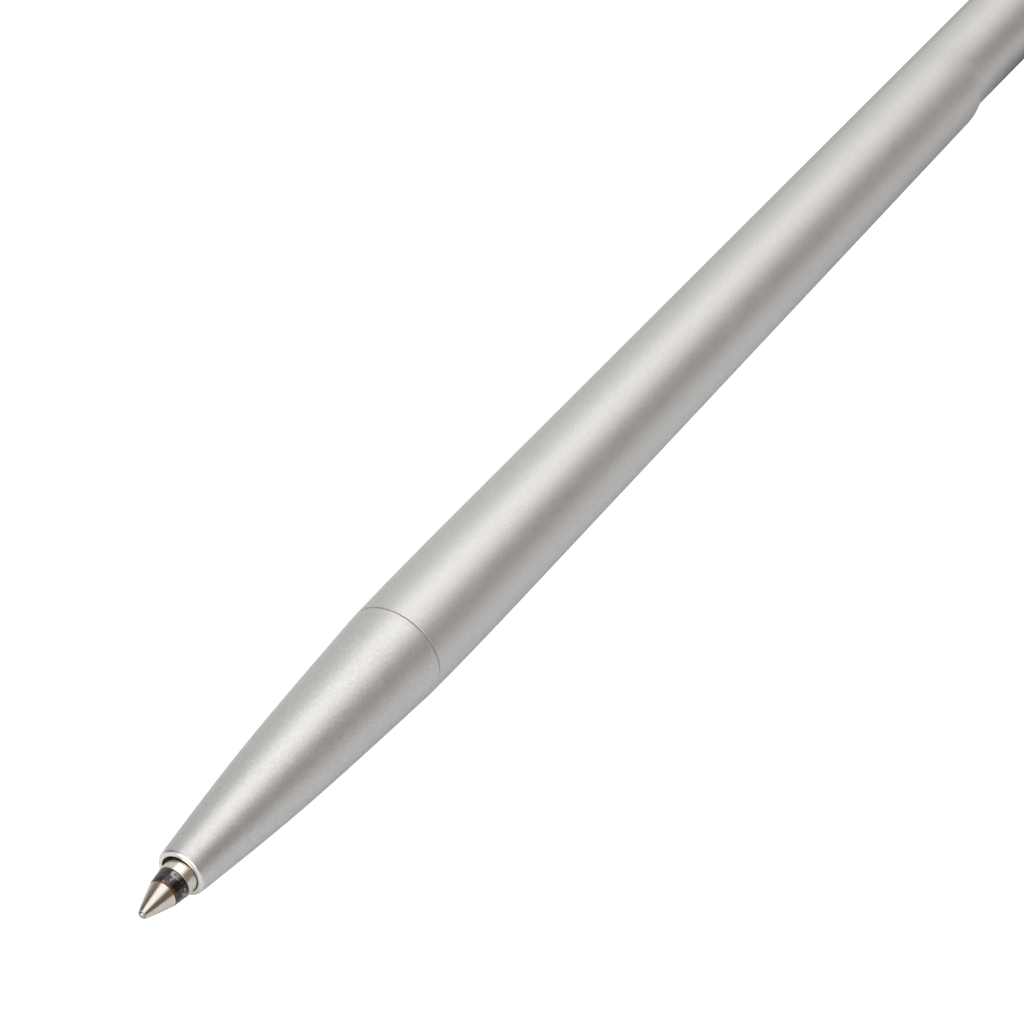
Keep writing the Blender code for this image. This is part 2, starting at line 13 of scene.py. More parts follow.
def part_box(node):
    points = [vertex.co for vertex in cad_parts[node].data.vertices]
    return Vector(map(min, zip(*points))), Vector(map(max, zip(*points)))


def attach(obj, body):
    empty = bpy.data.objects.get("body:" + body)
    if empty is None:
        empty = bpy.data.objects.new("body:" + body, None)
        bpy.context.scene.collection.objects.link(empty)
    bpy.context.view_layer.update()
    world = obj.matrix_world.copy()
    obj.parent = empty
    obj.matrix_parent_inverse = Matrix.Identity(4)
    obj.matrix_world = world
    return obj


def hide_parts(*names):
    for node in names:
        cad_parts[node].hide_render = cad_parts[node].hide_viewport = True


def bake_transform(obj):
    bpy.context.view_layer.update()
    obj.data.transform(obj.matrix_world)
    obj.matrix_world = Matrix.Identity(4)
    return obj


bl_info = {
    "name": "Technical Pen",
    "version": (1, 0, 0),
    "blender": (4, 5, 0),
    "location": "View3D > Sidebar > Pen",
    "description": "Fine surfaces, finishes and a small studio for a twist-action pen",
    "category": "Object",
}

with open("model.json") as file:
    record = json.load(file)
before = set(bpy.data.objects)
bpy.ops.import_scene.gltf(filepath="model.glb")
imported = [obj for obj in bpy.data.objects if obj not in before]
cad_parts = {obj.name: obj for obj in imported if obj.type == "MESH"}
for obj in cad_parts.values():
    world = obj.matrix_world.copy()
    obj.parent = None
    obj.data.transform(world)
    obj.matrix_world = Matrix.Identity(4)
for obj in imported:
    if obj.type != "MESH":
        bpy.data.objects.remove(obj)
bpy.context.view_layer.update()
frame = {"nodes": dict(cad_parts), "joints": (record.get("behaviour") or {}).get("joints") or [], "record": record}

# ---- places read from the frame ----------------------------------------------------
MM = 0.001
JOINTS = {joint["name"]: joint for joint in frame["joints"]}
BALL_LOW, BALL_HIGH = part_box("point_ball")
KNOB_LOW, KNOB_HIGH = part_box("knob_shell")
AXIS_POINT = Vector(JOINTS["knob_twist"]["pos_m"])
CLIP_AXIS = Vector(JOINTS["clip_swing"]["axis"])
CLIP_PIVOT = Vector(JOINTS["clip_swing"]["pos_m"])
LEAN = math.atan2(-CLIP_AXIS.y, CLIP_AXIS.z)
TIP = Vector((BALL_LOW.x, AXIS_POINT.y, AXIS_POINT.z))

# The pen's own axes: x from the ball to the rear, z towards the clip, in millimetres.
PEN_TURN = math.pi / 2 + LEAN
PEN_AXES = (
    Matrix.Translation(TIP) @ Matrix.Rotation(PEN_TURN, 4, "X") @ Matrix.Scale(MM, 4)
)


def along(node, end):
    """Distance from the ball to a node's front (0) or rear (1), in millimetres."""
    return (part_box(node)[end].x - TIP.x) / MM


BARREL_R = AXIS_POINT.z / MM
SEAM_R = 0.972 * BARREL_R
BARREL_END_X = along("barrel_tube", 1)
PEN_END_X = along("knob_end_disc", 1)
PIVOT_X = (CLIP_PIVOT.x - TIP.x) / MM
PIVOT_OUT = (CLIP_PIVOT - Vector((CLIP_PIVOT.x, TIP.y, TIP.z))).length / MM

# Places that two pieces share, in millimetres.
CONE_BACK_X = 2.04
BAND_X = 3.03
DISC_POCKET_X = 149.7
HEEL_SPRING_X = 141.6

# The camera's place from the ball, in barrel radii, and its turn in degrees.
VIEW_FROM = (-26.49, -22.74, 34.37)
VIEW_TURN = (52.678, 0.087, -59.319)


# ---- settings ----------------------------------------------------------------------
class PenSizes(PropertyGroup):
    facets: IntProperty(
        name="Facets",
        description="Faces round the barrel",
        default=192,
        min=48,
    )
    small_facets: IntProperty(
        name="Small facets",
        description="Faces round the refill and the small turned pieces",
        default=96,
        min=24,
    )
    seam_edge: FloatProperty(
        name="Seam edge",
        description="Rounding of the two edges that meet at the seam",
        default=0.00007,
        unit="LENGTH",
        precision=6,
    )
    mouth_round: FloatProperty(
        name="Mouth rounding",
        description="Width of the polished rounding round the mouth",
        default=0.00029,
        unit="LENGTH",
        precision=6,
    )
    refill_rest: FloatProperty(
        name="Refill rest",
        description="How far the refill's front lies off centre in the mouth",
        default=0.00009,
        unit="LENGTH",
        precision=6,
    )


class PenFinishes(PropertyGroup):
    satin: FloatVectorProperty(
        name="Satin",
        description="Bead-blasted and anodised aluminium",
        subtype="COLOR",
        default=(0.553, 0.55, 0.546),
    )
    satin_roughness: FloatProperty(
        name="Satin roughness",
        description="Mean roughness of the blasted skin",
        default=0.48,
        subtype="FACTOR",
    )
    grain_size: FloatProperty(
        name="Grain size",
        description="Size of one blasted pit",
        default=0.00011,
        unit="LENGTH",
        precision=6,
    )
    nickel: FloatVectorProperty(
        name="Nickel silver",
        description="Polished refill metal",
        subtype="COLOR",
        default=(0.64, 0.58, 0.51),
    )
    smoke: FloatVectorProperty(
        name="Smoke",
        description="Smoky plastic of the tip holder",
        subtype="COLOR",
        default=(0.05, 0.03, 0.022),
    )


class PenStage(PropertyGroup):
    lens: FloatProperty(
        name="Lens",
        description="Focal length of the camera",
        default=105.47,
        unit="CAMERA",
    )
    floor_shade: FloatVectorProperty(
        name="Floor",
        description="Shade of the table",
        subtype="COLOR",
        default=(0.79, 0.80, 0.81),
    )
    key_energy: FloatProperty(
        name="Key light",
        description="Power of the wide softbox over the pen",
        default=1.42,
        unit="POWER",
    )
    core_energy: FloatProperty(
        name="Key core",
        description="Power of the brighter middle of the softbox",
        default=1.17,
        unit="POWER",
    )
    fill_energy: FloatProperty(
        name="Fill light",
        description="Power of the softbox ahead of the point",
        default=2.4,
        unit="POWER",
    )
    bright_side: FloatVectorProperty(
        name="Bright side",
        description="Light of the white wall beyond the pen",
        subtype="COLOR",
        default=(0.98, 0.96, 0.93),
    )
    dark_side: FloatVectorProperty(
        name="Dark side",
        description="Light of the dim room in front of the pen",
        subtype="COLOR",
        default=(0.39, 0.338, 0.30),
    )


# ---- mesh tools --------------------------------------------------------------------
def arc(centre_x, centre_r, radius, start, end, steps):
    """Outline points along an arc, from start to end in degrees."""
    points = []
    for i in range(steps + 1):
        angle = math.radians(start + (end - start) * i / steps)
        points.append((centre_x + radius * math.cos(angle), centre_r + radius * math.sin(angle)))
    return points


def blended(weights, rows):
    """The weighted sum of rows of numbers, column by column."""
    return tuple(sum(w * value for w, value in zip(weights, column)) for column in zip(*rows))


def bezier(p0, p1, p2, p3, steps):
    """Outline points along a cubic curve with two handles."""
    points = []
    for i in range(steps + 1):
        t = i / steps
        u = 1 - t
        weights = (u**3, 3 * u * u * t, 3 * u * t * t, t**3)
        points.append(blended(weights, (p0, p1, p2, p3)))
    return points


def round_corners(outline, radius, steps=4, closed=True):
    """Replace each corner of an outline by a small curve."""
    count = len(outline)
    rounded = []
    for i, corner in enumerate(outline):
        if not closed and i in (0, count - 1):
            rounded.append(corner)
            continue
        here = Vector(corner)
        before = Vector(outline[i - 1]) - here
        after = Vector(outline[(i + 1) % count]) - here
        reach = min(radius, before.length * 0.45, after.length * 0.45)
        start = here + before.normalized() * reach
        end = here + after.normalized() * reach
        for k in range(steps + 1):
            t = k / steps
            spot = start * (1 - t) ** 2 + here * (2 * t * (1 - t)) + end * t * t
            rounded.append((spot.x, spot.y))
    return rounded


def spun(outline, facets, closed=True):
    """A bmesh turned from an outline of (x, radius) about the pen's axis."""
    bm = bmesh.new()
    verts = [bm.verts.new((x, 0.0, radius)) for x, radius in outline]
    pairs = list(zip(verts, verts[1:]))
    if closed:
        pairs.append((verts[-1], verts[0]))
    edges = [bm.edges.new(pair) for pair in pairs]
    bmesh.ops.spin(
        bm,
        geom=verts + edges,
        cent=(0, 0, 0),
        axis=(1, 0, 0),
        angle=2 * math.pi,
        steps=facets,
        use_merge=True,
    )
    bmesh.ops.remove_doubles(bm, verts=bm.verts, dist=0.0001)
    return bm


def skinned(sections):
    """A closed bmesh laid over sections that all hold the same number of points."""
    count = len(sections[0])
    bm = bmesh.new()
    sheet = bmesh.ops.create_grid(
        bm, x_segments=count, y_segments=len(sections) - 1, size=1.0
    )["verts"]
    for i, vert in enumerate(sheet):
        vert.co = sections[i // (count + 1)][i % (count + 1) % count]
    bmesh.ops.remove_doubles(bm, verts=bm.verts, dist=0.0001)
    ends = [edge for edge in bm.edges if edge.is_boundary]
    bmesh.ops.holes_fill(bm, edges=ends, sides=0)
    return bm


def clamped(value):
    return min(max(value, 0.0), 1.0)


def smooth_step(value):
    """From 0 to 1 with a level start and end."""
    share = clamped(value)
    return share * share * (3 - 2 * share)


def coil(start, end, radius, wire, turns, wire_points=12):
    """A compression spring along z with its last turns closed flat."""
    sections = []
    steps = int(turns * 28)
    closed = 0.8 / turns
    pitch = 2.1 * wire
    for i in range(steps + 1):
        share = i / steps
        eased = clamped((share - closed) / (1 - 2 * closed))
        lift = pitch * (min(share, closed) - min(1 - share, closed)) / closed
        z = start + wire + pitch + (end - start - 6.2 * wire) * eased + lift
        angle = 2 * math.pi * turns * share
        out = Vector((math.cos(angle), math.sin(angle), 0.0))
        ring = []
        for k in range(wire_points):
            turn = 2 * math.pi * k / wire_points
            side = out * (radius + wire * math.cos(turn))
            ring.append(side + Vector((0.0, 0.0, z + wire * math.sin(turn))))
        sections.append(ring)
    return skinned(sections)


def smooth_track(stations, steps):
    """Stations joined by a smooth curve through every one of them."""
    track = []
    last = len(stations) - 1
    for i in range(last):
        knots = [stations[min(max(i + k, 0), last)] for k in (-1, 0, 1, 2)]
        for k in range(steps):
            t = k / steps
            weights = (
                (-t + 2 * t**2 - t**3) / 2,
                (2 - 5 * t**2 + 3 * t**3) / 2,
                (t + 4 * t**2 - 3 * t**3) / 2,
                (-(t**2) + t**3) / 2,
            )
            track.append(blended(weights, knots))
    track.append(tuple(stations[-1]))
    return track


def add_piece(name, bm, material, body, nodes, sharp=38):
    """Lay a finished bmesh in place as a piece that rides on a body."""
    bmesh.ops.transform(bm, matrix=PEN_AXES, verts=bm.verts)
    bmesh.ops.recalc_face_normals(bm, faces=bm.faces)
    mesh = bpy.data.meshes.new(name)
    bm.to_mesh(mesh)
    bm.free()
    mesh.shade_smooth()
    mesh.set_sharp_from_angle(angle=math.radians(sharp))
    mesh.materials.append(material)
    piece = bpy.data.objects.new(name, mesh)
    bpy.context.scene.collection.objects.link(piece)
    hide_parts(*nodes)
    if body:
        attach(piece, body)
    return piece


# ---- shader groups -----------------------------------------------------------------
def new_group(name, inputs, outputs):
    """An empty shader group with float or colour sockets."""
    group = bpy.data.node_groups.new(name, "ShaderNodeTree")
    for label, kind, value in inputs:
        socket = group.interface.new_socket(label, in_out="INPUT", socket_type=kind)
        socket.default_value = value
    for label, kind in outputs:
        group.interface.new_socket(label, in_out="OUTPUT", socket_type=kind)
    return group, group.nodes.new("NodeGroupInput"), group.nodes.new("NodeGroupOutput")


def math_node(tree, operation, first, second=None):
    """A Math node whose inputs are sockets or numbers; returns its output."""
    node = tree.nodes.new("ShaderNodeMath")
    node.operation = operation
    for i, value in enumerate((first, second)):
        if value is None:
            continue
        if isinstance(value, bpy.types.NodeSocket):
            tree.links.new(value, node.inputs[i])
        else:
            node.inputs[i].default_value = value
    return node.outputs[0]


def map_range(tree, value, low, high, to_low, to_high):
    node = tree.nodes.new("ShaderNodeMapRange")
    tree.links.new(value, node.inputs["Value"])
    for label, number in (
        ("From Min", low),
        ("From Max", high),
        ("To Min", to_low),
        ("To Max", to_high),
    ):
        if isinstance(number, bpy.types.NodeSocket):
            tree.links.new(number, node.inputs[label])
        else:
            node.inputs[label].default_value = number
    return node.outputs["Result"]


def noise(tree, vector, scale, **values):
    node = tree.nodes.new("ShaderNodeTexNoise")
    tree.links.new(vector, node.inputs["Vector"])
    if isinstance(scale, bpy.types.NodeSocket):
        tree.links.new(scale, node.inputs["Scale"])
    else:
        node.inputs["Scale"].default_value = scale
    for label, value in values.items():
        node.inputs[label].default_value = value
    return node.outputs["Fac"]


def pen_position_group():
    """Position along the pen (mm from the ball), distance from its axis, and a vector."""
    group, _, out = new_group(
        "pen_position",
        [],
        [
            ("Along", "NodeSocketFloat"),
            ("Radius", "NodeSocketFloat"),
            ("Vector", "NodeSocketVector"),
        ],
    )
    coordinate = group.nodes.new("ShaderNodeTexCoord")
    mapping = group.nodes.new("ShaderNodeMapping")
    mapping.vector_type = "TEXTURE"
    mapping.inputs["Location"].default_value = TIP
    mapping.inputs["Rotation"].default_value = (PEN_TURN, 0.0, 0.0)
    mapping.inputs["Scale"].default_value = (MM, MM, MM)
    group.links.new(coordinate.outputs["Object"], mapping.inputs["Vector"])
    split = group.nodes.new("ShaderNodeSeparateXYZ")
    group.links.new(mapping.outputs["Vector"], split.inputs["Vector"])
    across = math_node(group, "POWER", split.outputs["Y"], 2.0)
    up = math_node(group, "POWER", split.outputs["Z"], 2.0)
    radius = math_node(group, "SQRT", math_node(group, "ADD", across, up))
    group.links.new(split.outputs["X"], out.inputs["Along"])
    group.links.new(radius, out.inputs["Radius"])
    group.links.new(mapping.outputs["Vector"], out.inputs["Vector"])


def blast_grain_group():
    """Fine pits of a bead-blasted skin, with painted glints: random brighter and darker specks in the tone."""
    group, given, out = new_group(
        "blast_grain",
        [
            ("Vector", "NodeSocketVector", (0, 0, 0)),
            ("Grain", "NodeSocketFloat", 0.11),
            ("Depth", "NodeSocketFloat", 1.0),
        ],
        [
            ("Height", "NodeSocketFloat"),
            ("Tone", "NodeSocketFloat"),
            ("Dull", "NodeSocketFloat"),
        ],
    )
    vector = given.outputs["Vector"]
    pitch = math_node(group, "DIVIDE", 1.0, given.outputs["Grain"])
    pits = noise(group, vector, pitch, Detail=2.0, Roughness=0.55)
    # Painted glints: a fine noise lifts and lowers the tone of the skin in specks.
    painted_glints = noise(group, vector, math_node(group, "MULTIPLY", pitch, 0.95), Detail=1.0)
    cloud = noise(group, vector, 0.8, Detail=3.0, Roughness=0.5)
    height = math_node(group, "MULTIPLY", pits, given.outputs["Depth"])
    painted_glint = map_range(group, painted_glints, 0.28, 0.75, 0.93, 1.08)
    drift = map_range(group, cloud, 0.3, 0.7, 0.985, 1.015)
    group.links.new(height, out.inputs["Height"])
    group.links.new(math_node(group, "MULTIPLY", painted_glint, drift), out.inputs["Tone"])
    group.links.new(cloud, out.inputs["Dull"])


def turned_lines_group():
    """Fine rings left by turning: along the pen on its sides, by radius on its ends."""
    group, given, out = new_group(
        "turned_lines",
        [
            ("Along", "NodeSocketFloat", 0.0),
            ("Radius", "NodeSocketFloat", 0.0),
            ("Vector", "NodeSocketVector", (0, 0, 0)),
            ("Pitch", "NodeSocketFloat", 0.05),
        ],
        [("Height", "NodeSocketFloat"), ("Tone", "NodeSocketFloat")],
    )
    place = math_node(group, "ADD", given.outputs["Along"], given.outputs["Radius"])
    turns = math_node(group, "DIVIDE", place, given.outputs["Pitch"])
    line = group.nodes.new("ShaderNodeTexNoise")
    line.noise_dimensions = "1D"
    line.inputs["Scale"].default_value = 1.0
    line.inputs["Detail"].default_value = 3.0
    group.links.new(turns, line.inputs["W"])
    smear = noise(group, given.outputs["Vector"], 2.2, Detail=3.0)
    both = math_node(group, "MULTIPLY", line.outputs["Fac"], smear)
    group.links.new(line.outputs["Fac"], out.inputs["Height"])
    group.links.new(map_range(group, both, 0.1, 0.45, 0.93, 1.05), out.inputs["Tone"])


def moulded_skin_group():
    """Faint waviness and dust of a moulded plastic or rubber surface."""
    group, given, out = new_group(
        "moulded_skin",
        [("Vector", "NodeSocketVector", (0, 0, 0)), ("Scale", "NodeSocketFloat", 3.0)],
        [("Height", "NodeSocketFloat"), ("Tone", "NodeSocketFloat")],
    )
    wave = noise(group, given.outputs["Vector"], given.outputs["Scale"], Detail=4.0)
    group.links.new(wave, out.inputs["Height"])
    group.links.new(map_range(group, wave, 0.3, 0.7, 0.9, 1.1), out.inputs["Tone"])


# ---- materials ---------------------------------------------------------------------
def use_group(tree, name):
    node = tree.nodes.new("ShaderNodeGroup")
    node.node_tree = bpy.data.node_groups[name]
    return node


def tinted(tree, colour, tone):
    """The colour scaled by a tone that changes over the surface."""
    mix = tree.nodes.new("ShaderNodeMix")
    mix.data_type = "RGBA"
    mix.blend_type = "MULTIPLY"
    mix.inputs["Factor"].default_value = 1.0
    mix.inputs["A"].default_value = (*colour, 1.0)
    tree.links.new(tone, mix.inputs["B"])
    return mix.outputs["Result"]


def bump(tree, shader, height, distance):
    node = tree.nodes.new("ShaderNodeBump")
    node.inputs["Distance"].default_value = distance
    node.inputs["Strength"].default_value = 1.0
    tree.links.new(height, node.inputs["Height"])
    tree.links.new(node.outputs["Normal"], shader.inputs["Normal"])


def new_material(name, metallic=0.0, roughness=0.5):
    material = bpy.data.materials.new(name)
    material.use_nodes = True
    shader = material.node_tree.nodes["Principled BSDF"]
    shader.inputs["Metallic"].default_value = metallic
    shader.inputs["Roughness"].default_value = roughness
    return material, material.node_tree, shader


def satin_material(name, colour, roughness, grain, mouth_polish=False, neck=False):
    """Blasted aluminium; polished at the mouth, finely turned on the neck, with painted shade that darkens the
    neck towards the clip.
    """
    _, tree, shader = new_material(name, metallic=1.0)
    place = use_group(tree, "pen_position")
    skin = use_group(tree, "blast_grain")
    tree.links.new(place.outputs["Vector"], skin.inputs["Vector"])
    skin.inputs["Grain"].default_value = grain / MM
    tone = skin.outputs["Tone"]
    rough = map_range(
        tree, skin.outputs["Dull"], 0.3, 0.7, roughness * 0.96, roughness * 1.04
    )
    if mouth_polish:
        mouth_x = along("nose_cone", 0)
        polish = map_range(
            tree, place.outputs["Along"], mouth_x + 0.04, mouth_x + 0.20, 1.0, 0.0
        )
        rough = map_range(tree, polish, 0.0, 1.0, rough, 0.2)
        tone = math_node(tree, "ADD", tone, math_node(tree, "MULTIPLY", polish, 0.3))
        depth = math_node(tree, "SUBTRACT", 1.0, polish)
        tree.links.new(depth, skin.inputs["Depth"])
    if neck:
        neck_x = 31.7 * BARREL_R
        turned = map_range(tree, place.outputs["Along"], neck_x, neck_x + 4.6, 0.0, 1.0)
        # Painted shade: the neck's colour is darkened by up to 27 % on the side towards the clip.
        split = tree.nodes.new("ShaderNodeSeparateXYZ")
        tree.links.new(place.outputs["Vector"], split.inputs["Vector"])
        clip_side = math_node(tree, "DIVIDE", split.outputs["Z"], place.outputs["Radius"])
        painted_clip_shade = map_range(tree, clip_side, 0.70, 1.0, 0.0, 0.27)
        shade = math_node(tree, "MULTIPLY", turned, painted_clip_shade)
        tone = math_node(tree, "MULTIPLY", tone, math_node(tree, "SUBTRACT", 1.0, shade))
        rough = map_range(tree, turned, 0.0, 1.0, rough, roughness * 0.9)
    tree.links.new(rough, shader.inputs["Roughness"])
    tree.links.new(tinted(tree, colour, tone), shader.inputs["Base Color"])
    bump(tree, shader, skin.outputs["Height"], 0.000008)


def turned_material(name, colour, roughness, pitch=0.05, depth=0.0000008):
    """Metal that was turned: fine rings over a clean reflective surface."""
    _, tree, shader = new_material(name, metallic=1.0)
    place = use_group(tree, "pen_position")
    lines = use_group(tree, "turned_lines")
    for label in ("Along", "Radius", "Vector"):
        tree.links.new(place.outputs[label], lines.inputs[label])
    lines.inputs["Pitch"].default_value = pitch
    tree.links.new(
        tinted(tree, colour, lines.outputs["Tone"]), shader.inputs["Base Color"]
    )
    rough = map_range(
        tree, lines.outputs["Tone"], 0.93, 1.05, roughness * 1.35, roughness * 0.8
    )
    tree.links.new(rough, shader.inputs["Roughness"])
    bump(tree, shader, lines.outputs["Height"], depth)


def moulded_material(name, colour, roughness, scale=3.0, coat=0.0):
    """Plastic, rubber, ink or grease with a faintly uneven skin."""
    _, tree, shader = new_material(name)
    place = use_group(tree, "pen_position")
    skin = use_group(tree, "moulded_skin")
    tree.links.new(place.outputs["Vector"], skin.inputs["Vector"])
    skin.inputs["Scale"].default_value = scale
    tree.links.new(tinted(tree, colour, skin.outputs["Tone"]), shader.inputs["Base Color"])
    rough = map_range(
        tree, skin.outputs["Height"], 0.3, 0.7, roughness * 0.85, roughness * 1.15
    )
    tree.links.new(rough, shader.inputs["Roughness"])
    shader.inputs["Coat Weight"].default_value = coat
    bump(tree, shader, skin.outputs["Height"], 0.000002)


def smoke_material(name, colour):
    """Smoky plastic, nearly black; its front edge carries a painted amber tint and a faint painted amber glow that
    stand in for light showing through.
    """
    _, tree, shader = new_material(name, roughness=0.05)
    place = use_group(tree, "pen_position")
    skin = use_group(tree, "moulded_skin")
    tree.links.new(place.outputs["Vector"], skin.inputs["Vector"])
    skin.inputs["Scale"].default_value = 2.4
    edge_x = along("tip_holder", 0)
    waver = map_range(tree, skin.outputs["Height"], 0.35, 0.65, 0.09, -0.09)
    ragged = math_node(tree, "ADD", place.outputs["Along"], waver)
    # Painted light: a ragged band at the front edge is tinted amber in the base colour, as if lit from within.
    painted_amber_edge = map_range(tree, ragged, edge_x + 0.05, edge_x + 0.19, 0.75, 0.0)
    mix = tree.nodes.new("ShaderNodeMix")
    mix.data_type = "RGBA"
    mix.inputs["B"].default_value = (0.75, 0.30, 0.09, 1.0)
    tree.links.new(painted_amber_edge, mix.inputs["Factor"])
    tree.links.new(tinted(tree, colour, skin.outputs["Tone"]), mix.inputs["A"])
    tree.links.new(mix.outputs["Result"], shader.inputs["Base Color"])
    shader.inputs["Transmission Weight"].default_value = 1.0
    shader.inputs["IOR"].default_value = 1.53
    # Painted glow: the amber edge gives off a faint light of its own.
    painted_amber_glow = tinted(tree, (0.55, 0.17, 0.03), painted_amber_edge)
    tree.links.new(painted_amber_glow, shader.inputs["Emission Color"])
    shader.inputs["Emission Strength"].default_value = 0.15
    wet = map_range(tree, skin.outputs["Height"], 0.57, 0.63, 0.0, 1.0)
    tree.links.new(wet, shader.inputs["Coat Weight"])
    shader.inputs["Coat IOR"].default_value = 2.3
    bump(tree, shader, skin.outputs["Height"], 0.00003)


# ---- operators: the finishes -------------------------------------------------------
class PEN_OT_finishes(Operator):
    """Make the shader groups and every finish of the pen"""

    bl_idname = "pen.finishes"
    bl_label = "Finishes"

    def execute(self, context):
        look = context.scene.pen_finishes
        pen_position_group()
        blast_grain_group()
        turned_lines_group()
        moulded_skin_group()
        satin = (look.satin, look.satin_roughness)
        satin_material("satin_aluminium", *satin, look.grain_size)
        satin_material("satin_barrel", *satin, look.grain_size, neck=True)
        satin_material("satin_nose", *satin, look.grain_size * 1.45, mouth_polish=True)
        turned_material("nickel_silver", look.nickel, 0.13)
        turned_material("polished_point", look.nickel, 0.20, 0.03, 0.0000005)
        turned_material("polished_steel", (0.70, 0.70, 0.71), 0.10, 0.03)
        turned_material("turned_steel", (0.50, 0.51, 0.52), 0.26, 0.08)
        turned_material("spring_wire", (0.46, 0.46, 0.47), 0.30, 0.02)
        turned_material("turned_brass", (0.72, 0.53, 0.26), 0.28, 0.09)
        turned_material("ground_carbide", (0.40, 0.40, 0.41), 0.10, 0.01)
        moulded_material("black_rubber", (0.018, 0.018, 0.019), 0.62, 6.0)
        moulded_material("black_ink", (0.006, 0.006, 0.009), 0.12, 1.5, coat=0.4)
        moulded_material("clear_grease", (0.66, 0.58, 0.36), 0.22, 2.0, coat=0.5)
        moulded_material("natural_nylon", (0.78, 0.77, 0.73), 0.42, 4.0)
        smoke_material("smoke_plastic", look.smoke)
        return {"FINISHED"}


SLOT_FINISH = {
    "satin_body": "satin_aluminium",
    "polished": "polished_steel",
    "nickel_silver": "nickel_silver",
    "carbide": "ground_carbide",
    "steel": "turned_steel",
    "spring_steel": "spring_wire",
    "brass": "turned_brass",
    "rubber": "black_rubber",
    "smoke": "smoke_plastic",
    "ink": "black_ink",
    "grease": "clear_grease",
    "nylon": "natural_nylon",
}


def finish(slot):
    return bpy.data.materials[SLOT_FINISH[slot]]


class PEN_OT_inner_pieces(Operator):
    """Give each carried-over piece its own finish"""

    bl_idname = "pen.inner_pieces"
    bl_label = "Inner pieces"

    def execute(self, context):
        for row in frame["record"]["subparts"]:
            node = frame["nodes"][row["node"]]
            node.data.materials.clear()
            node.data.materials.append(finish(row["material_slot"]))
        return {"FINISHED"}


# ---- operators: the body -----------------------------------------------------------
class PEN_OT_nose_cone(Operator):
    """Ogive nose cone with a polished rounded mouth and a fine edge at the seam"""

    bl_idname = "pen.nose_cone"
    bl_label = "Nose cone"

    def execute(self, context):
        sizes = context.scene.pen_sizes
        front_x, rear_x = along("nose_cone", 0), along("nose_cone", 1)
        mouth_r, bore_r, thread_r = 1.22, 1.36, 2.5
        rim_r = 0.455 * BARREL_R
        edge = sizes.seam_edge / MM
        curl = sizes.mouth_round / MM
        lip = 0.04
        rim = []
        for depth, height in arc(0.0, 0.0, 1.0, 180, 94, 16):
            rim.append((front_x + 0.22 * (1 + depth), rim_r - curl * (1 - height)))
        flank = bezier(
            (1.22 * BARREL_R, rim_r + 0.008 * BARREL_R),
            (3.77 * BARREL_R, 0.754 * BARREL_R),
            (4.22 * BARREL_R, 0.778 * BARREL_R),
            (rear_x - edge, SEAM_R),
            64,
        )
        seam = arc(rear_x - edge, SEAM_R - edge, edge, 80, 0, 5)
        bore = [(rear_x, thread_r), (19.6, thread_r), (18.9, 1.75), (12.5, 1.75)]
        bore += [(12.5, bore_r), (6.3, bore_r), (6.0, mouth_r)]
        lip_arc = arc(front_x + lip, mouth_r + lip, lip, 270, 180, 6)
        bm = spun(rim + flank[1:] + seam + bore + lip_arc, sizes.facets)
        add_piece(
            "nose_shell",
            bm,
            bpy.data.materials["satin_nose"],
            "barrel",
            ["nose_cone"],
        )
        return {"FINISHED"}


def spread(start, end, count, ease=1.0):
    """Places from start to end, without the start; an ease over 1 crowds them there."""
    return [start + (end - start) * (i / count) ** ease for i in range(1, count + 1)]


def scallop_stations(sizes):
    """Stations of the barrel's outside as (x, radius, drop at the clip, drop beside it)."""
    edge = sizes.seam_edge / MM
    depth = 0.115 * BARREL_R / 2
    front_x = along("barrel_tube", 0) + edge
    full_x, level_x = 11.5 * BARREL_R, 30.2 * BARREL_R
    shoulder_x, foot_x = 30.90 * BARREL_R, 31.45 * BARREL_R
    gentle_x, gentle_length = 30.25 * BARREL_R, 2.1 * BARREL_R
    neck_x, end_x = foot_x + BARREL_R, 136.0
    places = [front_x] + spread(front_x, full_x, 24, 1.4) + spread(full_x, level_x, 7)
    places += spread(level_x, shoulder_x, 8)[:-1] + [shoulder_x]
    for i in range(1, 17):
        places.append(shoulder_x + (foot_x - shoulder_x) * math.sin(math.pi / 2 * i / 16))
    places += spread(foot_x, neck_x, 10) + spread(neck_x, end_x, 8)

    rounded = arc(front_x, SEAM_R - edge, edge, 180, 96, 5)
    stations = [(x, radius, 0.0, 0.0) for x, radius in rounded]
    for x in places:
        swell = min((x - front_x) / (full_x - front_x), 1.0)
        radius = BARREL_R - (BARREL_R - SEAM_R) * (1 - swell) ** 3
        fade = min(1.0, (end_x - x) / (end_x - foot_x))
        share = clamped((x - shoulder_x) / (foot_x - shoulder_x))
        sharp = depth * (1 - math.sqrt(1 - share * share)) * fade
        gentle = depth * smooth_step((x - gentle_x) / gentle_length) * fade
        stations.append((x, radius, sharp, gentle))
    for x, radius in arc(BARREL_END_X - 0.12, BARREL_R - 0.12, 0.12, 90, 0, 5):
        stations.append((x, radius, 0.0, 0.0))
    return stations


